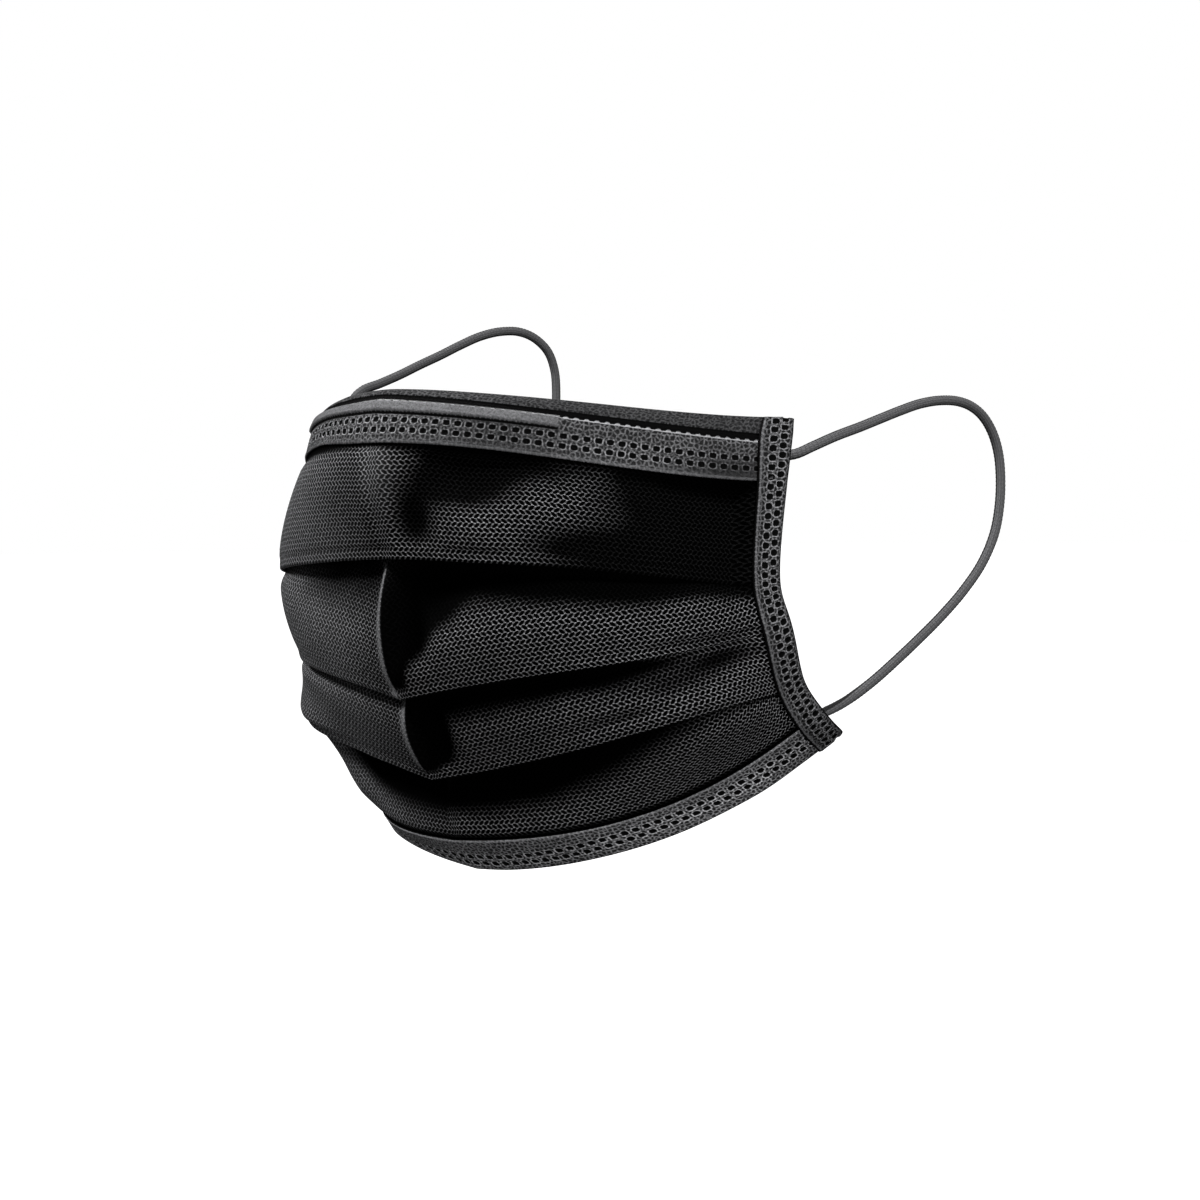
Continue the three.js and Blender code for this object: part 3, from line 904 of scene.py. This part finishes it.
def netSurface(make, along, up, dots, looks):
    # looks says how open the net is, where rims are pale (on the hems, a painted highlight along the free
    # edge and the wire band), where it is dark (welds, and painted shade along some edges) or dull, and how
    # pale it is all over
    colour = nonwoven["colour"] * looks["paler"]
    patches = make.noise(along, up, 1.1, 3.0, 0.6)
    dot, ring = dotMasks(make, along, up, dots, (patches - 0.5) * nonwoven["ragged"] * 2)
    net = netMask(make, along, up)
    fibres = make.noise(along, up, 2.4, 4.0, 0.7)
    cloudy = make.noise(along, up, 0.08)
    plain = make.blend(cloudy, grey(colour * 0.55), grey(colour * 0.85))
    tufts = make.step(0.42, 0.62, patches) * (looks["open"] * 0.4 + 0.15)
    tufts = tufts + make.step(0.4, 0.65, fibres) * 0.3
    fuzzy = make.blend(tufts, plain, grey(nonwoven["gap"]))
    meshed = make.blend(((1 - net) * looks["open"]).most(looks["dull"]), fuzzy, grey(nonwoven["gap"]))
    pale = (ring * (0.3 + net * 0.5) * (1 - looks["dull"])).most(looks["rim"])
    rimmed = make.blend(pale, meshed, grey(colour * 1.3))
    sunk = dot.most(looks["dark"])
    base = make.blend(sunk, rimmed, grey(nonwoven["dark"]))
    normal = make.bump(fibres * 0.4 + net * 0.5 - sunk * 0.6, 0.15)
    return make.surface({"Base Color": base, "Roughness": 0.8, "Normal": normal,
                         "Specular IOR Level": 0.08})


# the hems: a strip folded over the top and one over the chin edge

hem = {
    "half": 81,  # about its length from the crease to the side
    "depth": {"centre": 2.4, "side": 1.42},  # from the front leaf's face to the back leaf's
    "ends": (1.2, 2.6, 4.2),  # columns beyond each side, under the edging
    "rim": {"at": 0.55, "height": 0.1, "width": 0.35},  # the bead along the free edge
}


def hemColumns():
    return withEnds(np.linspace(-1, 1, 2 * round(hem["half"] / nonwoven["step"]) + 1), hem["ends"])


def hemBack(u):
    return mix(hem["depth"]["centre"], hem["depth"]["side"], ease(0.5, 0.98, np.abs(u)))


def foldRows(u, v, way, more):
    # the round of the fold from front to back; way is 1 over the top edge, -1 under the chin, and
    # more is how much further that way it lies
    back = hemBack(u)
    places = ((-0.6, 0), (-0.2, 0.08), (0, 0.3), (0, 0.7), (-0.2, 0.92), (-0.6, 1))
    return [(v, (rise + more) * way, back * share, 2) for rise, share in places]


def hemRim(up):
    return hem["rim"]["height"] * bell(up, hem["rim"]["at"], hem["rim"]["width"])


def freeEdgeHighlight(make, up):
    # painted highlight along the strip's free edge
    return make.step(0.4, 0.15, abs(up - 0.35)) * 0.25


def hemPiece(name, node, rows, strip, dent, layers, material):
    # rows run from the strip's free edge in front, round its fold and down behind; the second of
    # them lasts to the strip's turn, and up is measured along the cloth so that strip is reached there
    u, reach = hemColumns()
    v, rise, depth = refine(u, rows, 1)
    turnAt = rows[0][-1] + rows[1][-1]
    run = runLength(spread(u, reach, v, rise, depth), 0)
    up = np.where(run < run[turnAt], strip * run / run[turnAt], strip + run - run[turnAt])
    along = np.broadcast_to(clothAcross(u, reach, rows[1][0]), up.shape)
    points = spread(u, reach, v, rise, depth + dent(u, along, up))
    if v[0, 0] > v[turnAt, 0]:  # the top hem's rows run up the face, and a grid has to run down it
        points, along, up = (grid[::-1] for grid in (points, along, up))
    piece = clothPiece(name, points, along, up, nonwoven["thickness"])
    for key, value in layers.items():
        whole = np.broadcast_to(value, up.shape)
        addLayer(piece, key, whole, whole)
    return finishPiece(piece, node, material)


# the top hem, with a toothed groove welded under its fold and a smooth band over the nose wire

topHem = {
    "strip": 10.0,  # nominal millimetres from the lower edge up to the groove
    "trim": 0.07,  # it is cut this much shorter on the wearer's right
    "higher": 0.45,  # and its fold stands this much higher on the left
    "dots": {"rows": (2.65, 4.7), "pitch": 2.35, "size": (0.62, 0.48), "shift": 0.0, "depth": 0.33},
    "groove": {"at": 10.0, "under": 0.95, "over": 0.45, "tooth": 0.45, "toothPitch": 2.1, "depth": 0.5},
    "band": {"end": 0.49, "low": 6.35, "high": 8.45, "rise": 0.65, "line": 0.24},
    "thin": {"u": 0.34, "width": 0.2},  # where its nonwoven is thin
    "worn": (52.0, 78.0),  # millimetres from the crease, dull from the one to the other by the left tape
    "paler": 1.15,
}


def grooveMeasure(toothShare, up, most):
    # below 1 in the groove; toothShare is 1 on a tooth
    groove = topHem["groove"]
    under = (groove["at"] - up) / (groove["under"] + toothShare * groove["tooth"])
    return most(under, (up - groove["at"]) / groove["over"])


def topHemMaterial():
    make = newFinish("top hem nonwoven")
    along, up = make.cloth()
    band = topHem["band"]
    low, high = band["low"], band["high"]
    tooth = make.step(0.3, 0.6, abs((along / topHem["groove"]["toothPitch"]).part() - 0.5) * 2)
    groove = make.step(1.05, 0.85, grooveMeasure(tooth, up, Wire.most))
    onWire = make.layer("overWire")
    score = make.step(band["line"], band["line"] * 0.6, abs(up - low + 0.3)) * make.step(0.2, 0.5, onWire)
    inBand = make.step(low - 0.1, low + 0.1, up) * make.step(high + 0.2, high, up)
    # painted highlight along the upper edge of the band over the wire, fading in towards the wearer's left
    bandRim = make.step(0.32, 0.15, abs(up - high - 0.1)) * make.step(-10.0, 20.0, along)
    aboveGroove = make.step(10.2, 10.6, up) * (make.step(10.0, 34.0, along) * 0.2 + 0.35)
    thin = make.layer("thin") * make.step(6.2, 5.8, up) * 0.55
    worn = make.step(*topHem["worn"], along) * make.step(8.5, 2.0, up) * 0.75
    return netSurface(make, along, up, topHem["dots"], {
        "open": 0.85 - inBand * onWire * 0.85 - make.step(1.9, 1.2, up) * 0.1,
        "rim": freeEdgeHighlight(make, up).most(bandRim),
        "dark": groove.most(score),
        "dull": aboveGroove.most(thin).most(worn),
        "paler": topHem["paler"],
    })


def overWire(u):
    return ease(topHem["band"]["end"] + 0.015, topHem["band"]["end"] - 0.015, np.abs(u))


def topHemDent(u, along, up):
    groove, band = topHem["groove"], topHem["band"]
    low, high = band["low"], band["high"]
    tooth = ease(0.3, 0.6, np.abs((along / groove["toothPitch"]) % 1 - 0.5) * 2)
    inGroove = ease(1.3, 0.6, grooveMeasure(tooth, up, np.maximum))
    covered = ease(low - 0.25, low + 0.25, up) * ease(high + 0.3, high - 0.3, up)
    bandRim = 0.08 * bell(up, high, 0.3)
    score = 0.14 * bell(up, low - 0.4, 0.22) * overWire(u)
    return (dotField(along, up, topHem["dots"]) * topHem["dots"]["depth"] + inGroove * groove["depth"]
            - covered * overWire(u) * band["rise"] - (hemRim(up) + bandRim) + score)


def makeTopHem():
    u = hemColumns()[0]
    edge = hemEdge - topHem["trim"] * ease(-0.05, -0.25, u)
    steps = round(topHem["strip"] / nonwoven["step"])
    rows = [(edge, 0, 0.1, 2), (edge - 0.04, 0, 0, steps), (1.0, 0, 0, 12), (0.25, 0, 0, 2)]
    rows += foldRows(u, 0, 1, topHem["higher"] * ease(0.2, 0.6, u))
    rows += [(v, 0, hemBack(u), 3) for v in (0.4, 0.8, 1.2, 1.6)]
    layers = {"overWire": overWire(u), "thin": bell(u, topHem["thin"]["u"], topHem["thin"]["width"])}
    hemPiece("top_hem", "top_binding", rows, topHem["strip"], topHemDent, layers, topHemMaterial())


# the chin hem

chinHem = {
    "strip": 9.3,  # nominal millimetres from the upper edge down to the fold
    "dots": {"rows": (3.8, 6.1), "pitch": 2.35, "size": (0.62, 0.62), "shift": 0.0, "depth": 0.33},
    "drift": 1.5,  # the dots run this much nearer the fold at the chin
    # how far the fold hangs below the nominal edge, or stands above it: in millimetres all along the
    # left, and then in waves, each with its height, place and width
    "leftLower": 0.55,
    "waves": ((0.8, 0.17, 0.2), (0.45, 0.83, 0.1), (-2.8, -0.32, 0.17)),
    # painted light: the chin hem is made much paler than the top hem, standing in for light its down-turned
    # face hardly gets
    "paler": 1.9,
}


def chinHemMaterial():
    make = newFinish("chin hem nonwoven")
    along, up = make.cloth()
    return netSurface(make, along, up - make.layer("drift"), chinHem["dots"], {
        "open": make.step(1.2, 2.4, up) * 0.1 + 0.8 - make.step(12.0, -6.0, along) * 0.25,
        "rim": freeEdgeHighlight(make, up),
        # painted shadow: a dark line along the free edge
        "dark": make.step(0.16, 0.06, up),
        "dull": 0.0,
        "paler": chinHem["paler"],
    })


def chinDrift(u):
    return chinHem["drift"] * ease(0.6, 0.1, np.abs(u))


def chinHemDent(u, along, up):
    dots = dotField(along, up - chinDrift(u), chinHem["dots"])
    return dots * chinHem["dots"]["depth"] - hemRim(up)


def makeChinHem():
    u = hemColumns()[0]
    lower = chinHem["leftLower"] * ease(-0.05, 0.12, u)
    for height, place, width in chinHem["waves"]:
        lower = lower + height * bell(u, place, width)
    edge = lastLine + np.minimum(lower, 0) / chinHem["strip"]
    lower = np.maximum(lower, 0)
    steps = round(chinHem["strip"] / nonwoven["step"])
    rows = [(bindingEdge, 0, 0.1, 2), (bindingEdge + 0.04, 0, 0, steps), (edge - 0.1, -lower, 0, 2)]
    rows += foldRows(u, edge, -1, lower)
    rows += [(mix(edge, bindingEdge + 0.25, t), 0, hemBack(u), 3) for t in (0.25, 0.5, 0.75, 1)]
    layers = {"drift": chinDrift(u)}
    hemPiece("chin_hem", "bottom_binding", rows, chinHem["strip"], chinHemDent, layers, chinHemMaterial())


makeTopHem()
makeChinHem()
print("hems made")


# the edging: a tape folded round each side and welded through in two columns of dots

edging = {
    # share by which the tape stands out further at its top, and a part of that lower down; each is
    # placed by the lines, with its width
    "wider": {"share": 0.15, "top": (1.1, 0.9), "lowPart": 0.4, "low": (4.2, 0.8)},
    # its outer face from the inner edge in front, round the outside, to the inner edge behind:
    # millimetres out from the side of the body, and millimetres in towards the face
    "section": ((0.0, -0.3), (0.25, -0.47), (1.6, -0.45), (3.4, -0.3), (5.2, 0.0), (6.2, 0.3),
                (6.5, 0.75), (6.4, 1.15), (5.8, 1.5), (4.4, 1.85), (2.4, 2.05), (0.4, 2.05)),
    "front": (6.3, 7.0),  # the front ends between these, measured round the tape from its inner edge
    "measures": 400,  # points down the side, to measure it by
    "dots": {"rows": (2.5, 4.4), "pitch": 1.95, "size": (0.54, 0.6), "shift": 0.3, "depth": 0.3},
    "aside": 0.3,  # all the dots lie this much further out
    "backDots": 0.2,  # depth of the dots behind
    "rim": {"at": 0.7, "height": 0.1, "width": 0.4},
    "paler": 1.0,
}


def edgingSection():
    # the section with points about a step apart and its corners rounded off
    path = evenly(np.array(edging["section"]), nonwoven["step"])
    for _ in range(3):
        path[1:-1] = (path[:-2] + 2 * path[1:-1] + path[2:]) / 4
    return path


def edgingDents(down, around):
    front = 1 - ease(*edging["front"], around)
    outside = dotField(down[:, None], around[None] - edging["aside"], edging["dots"])
    behind = dotField(down[:, None], around[-1] - around[None] + 0.1, edging["dots"])
    rim = edging["rim"]["height"] * bell(around, edging["rim"]["at"], edging["rim"]["width"])
    return outside * edging["dots"]["depth"] * front - behind * edging["backDots"] * (1 - front) - rim


def makeEdging(name, node, hand, material):
    v = np.linspace(0, lastLine, edging["measures"])
    run = runLength(skin(np.ones_like(v), v), 0)
    down = np.linspace(0, run[-1], round(run[-1] / nonwoven["step"]))
    v = np.interp(down, run, v)
    side = np.ones_like(v)
    section = edgingSection()
    reach, around = section[:, 0], runLength(section, 0)
    depth = section[:, 1] + edgingDents(down, around)
    up, inward = skinFrame(side, v)
    out = sideways(v)
    over = unit(np.cross(up, out))
    wider = edging["wider"]
    stands = 1 + wider["share"] * (bell(v, *wider["top"]) + wider["lowPart"] * bell(v, *wider["low"]))
    # its depth lies square to the face at the inner edge, and soon square to the way out
    way = unit(mix(inward[:, None], over[:, None], ease(0, 2.5, reach)[None, :, None]))
    points = skin(side, v)[:, None] + out[:, None] * (stands[:, None] * reach)[..., None]
    points = points + way * depth[..., None]
    if hand < 0:
        points = points[:, ::-1] * [-1, 1, 1]
        around = around[::-1]
    piece = clothPiece(name, points, around[None], down[:, None], nonwoven["thickness"])
    return finishPiece(piece, node, material)


def edgingMaterial():
    make = newFinish("edging nonwoven")
    around, down = make.cloth()
    # painted shade: dark lines along the tape's inner edge in front, where it meets the body, and along its
    # outer turn
    frontEdge, backEdge = make.step(0.42, 0.3, around), make.step(0.4, 0.2, abs(around - 6.6))
    return netSurface(make, down, around - edging["aside"], edging["dots"], {
        "open": make.step(0.9, 1.3, around) * 0.15 + 0.76,
        "rim": make.step(0.25, 0.1, abs(around - 0.65)) * 0.35,
        "dark": frontEdge.most(backEdge),
        "dull": 0.0,
        "paler": edging["paler"],
    })


edgingFinish = edgingMaterial()
makeEdging("left_edging_tape", "side_edging_left", 1, edgingFinish)
makeEdging("right_edging_tape", "side_edging_right", -1, edgingFinish)
print("edgings made")


# the nose wire lies inside the top hem

wire = {"colour": 0.1, "worn": 0.06, "grain": 900.0}  # two greys, and how fine the grain between them is


def wireMaterial():
    make = newFinish("coated nose wire")
    place = make.node("ShaderNodeTexCoord", None, None, "Object")
    sockets = {"Vector": place, "Scale": wire["grain"], "Detail": 3.0}
    grain = make.node("ShaderNodeTexNoise", None, sockets)
    colour = make.blend(grain, grey(wire["worn"]), grey(wire["colour"]))
    return make.surface({"Base Color": colour, "Roughness": grain * 0.2 + 0.4,
                         "Normal": make.bump(grain, 0.02)})


def coatWire():
    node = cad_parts["nose_wire"]
    node.data.materials.clear()
    node.data.materials.append(wireMaterial())


coatWire()
print("nose wire coated")


# the pale floor and the studio light

studio = {
    "floorBelow": 0.16,  # metres under the mask
    "floorSize": 30,  # metres
    "floorColour": 0.85,
    "glow": 1.2,  # the floor's own light
    "world": 0.01,  # its light on the mask; the camera sees it white
    "gamma": 0.8,
    # azimuth and elevation of each soft box, its distance and size in metres, and its watts
    "lights": {
        "left": {"azimuth": -50, "elevation": 42, "distance": 0.9, "size": 0.2, "power": 12.5},
        "right": {"azimuth": 60, "elevation": 48, "distance": 0.9, "size": 0.25, "power": 11.5},
        "lowLeft": {"azimuth": 0, "elevation": -32, "distance": 0.9, "size": 0.4, "power": 2.0},
        "lowRight": {"azimuth": 75, "elevation": -25, "distance": 0.9, "size": 0.4, "power": 5},
        "behind": {"azimuth": 180, "elevation": 30, "distance": 0.9, "size": 0.4, "power": 4},
    },
}


def floorMaterial():
    make = newFinish("pale floor")
    colour = studio["floorColour"]
    return make.surface({"Base Color": (colour, colour, colour, 1), "Roughness": 0.9,
                         "Emission Color": (1, 1, 1, 1), "Emission Strength": studio["glow"]})


def makeFloor():
    size = studio["floorSize"] / 2
    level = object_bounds()[0].z - studio["floorBelow"]
    corners = [(x * size, y * size, level) for x, y in ((-1, -1), (1, -1), (1, 1), (-1, 1))]
    mesh = bpy.data.meshes.new("floor")
    mesh.from_pydata(corners, [], [(0, 1, 2, 3)])
    mesh.materials.append(floorMaterial())
    floor = bpy.data.objects.new("floor", mesh)
    bpy.context.scene.collection.objects.link(floor)
    floor.visible_shadow = False  # the low lights stand under it
    floor.visible_diffuse = False
    floor.visible_glossy = False


def makeLight(name, azimuth, elevation, distance, size, power):
    back = towards(azimuth, elevation)
    middle = (cadBox[0] + cadBox[1]) / 2
    data = bpy.data.lights.new(name, "AREA")
    data.size = size
    data.energy = power
    lamp = bpy.data.objects.new(name, data)
    lamp.location = middle + back * distance
    lamp.rotation_euler = (-back).to_track_quat("-Z", "Y").to_euler()
    lamp.visible_camera = False
    bpy.context.scene.collection.objects.link(lamp)


def makeWorld():
    world = bpy.data.worlds.new("studio")
    make = Maker(world)
    seen = make.node("ShaderNodeLightPath", None, None, "Is Camera Ray")
    strength = seen * (1 - studio["world"]) + studio["world"]
    glow = make.node("ShaderNodeBackground", None, {"Color": (1, 1, 1, 1), "Strength": strength})
    make.node("ShaderNodeOutputWorld", None, {"Surface": glow}, None)
    bpy.context.scene.world = world


makeFloor()
for name, facts in studio["lights"].items():
    makeLight(name, **facts)
makeWorld()
bpy.context.scene.view_settings.view_transform = "Standard"
bpy.context.scene.view_settings.gamma = studio["gamma"]
print("studio lit")
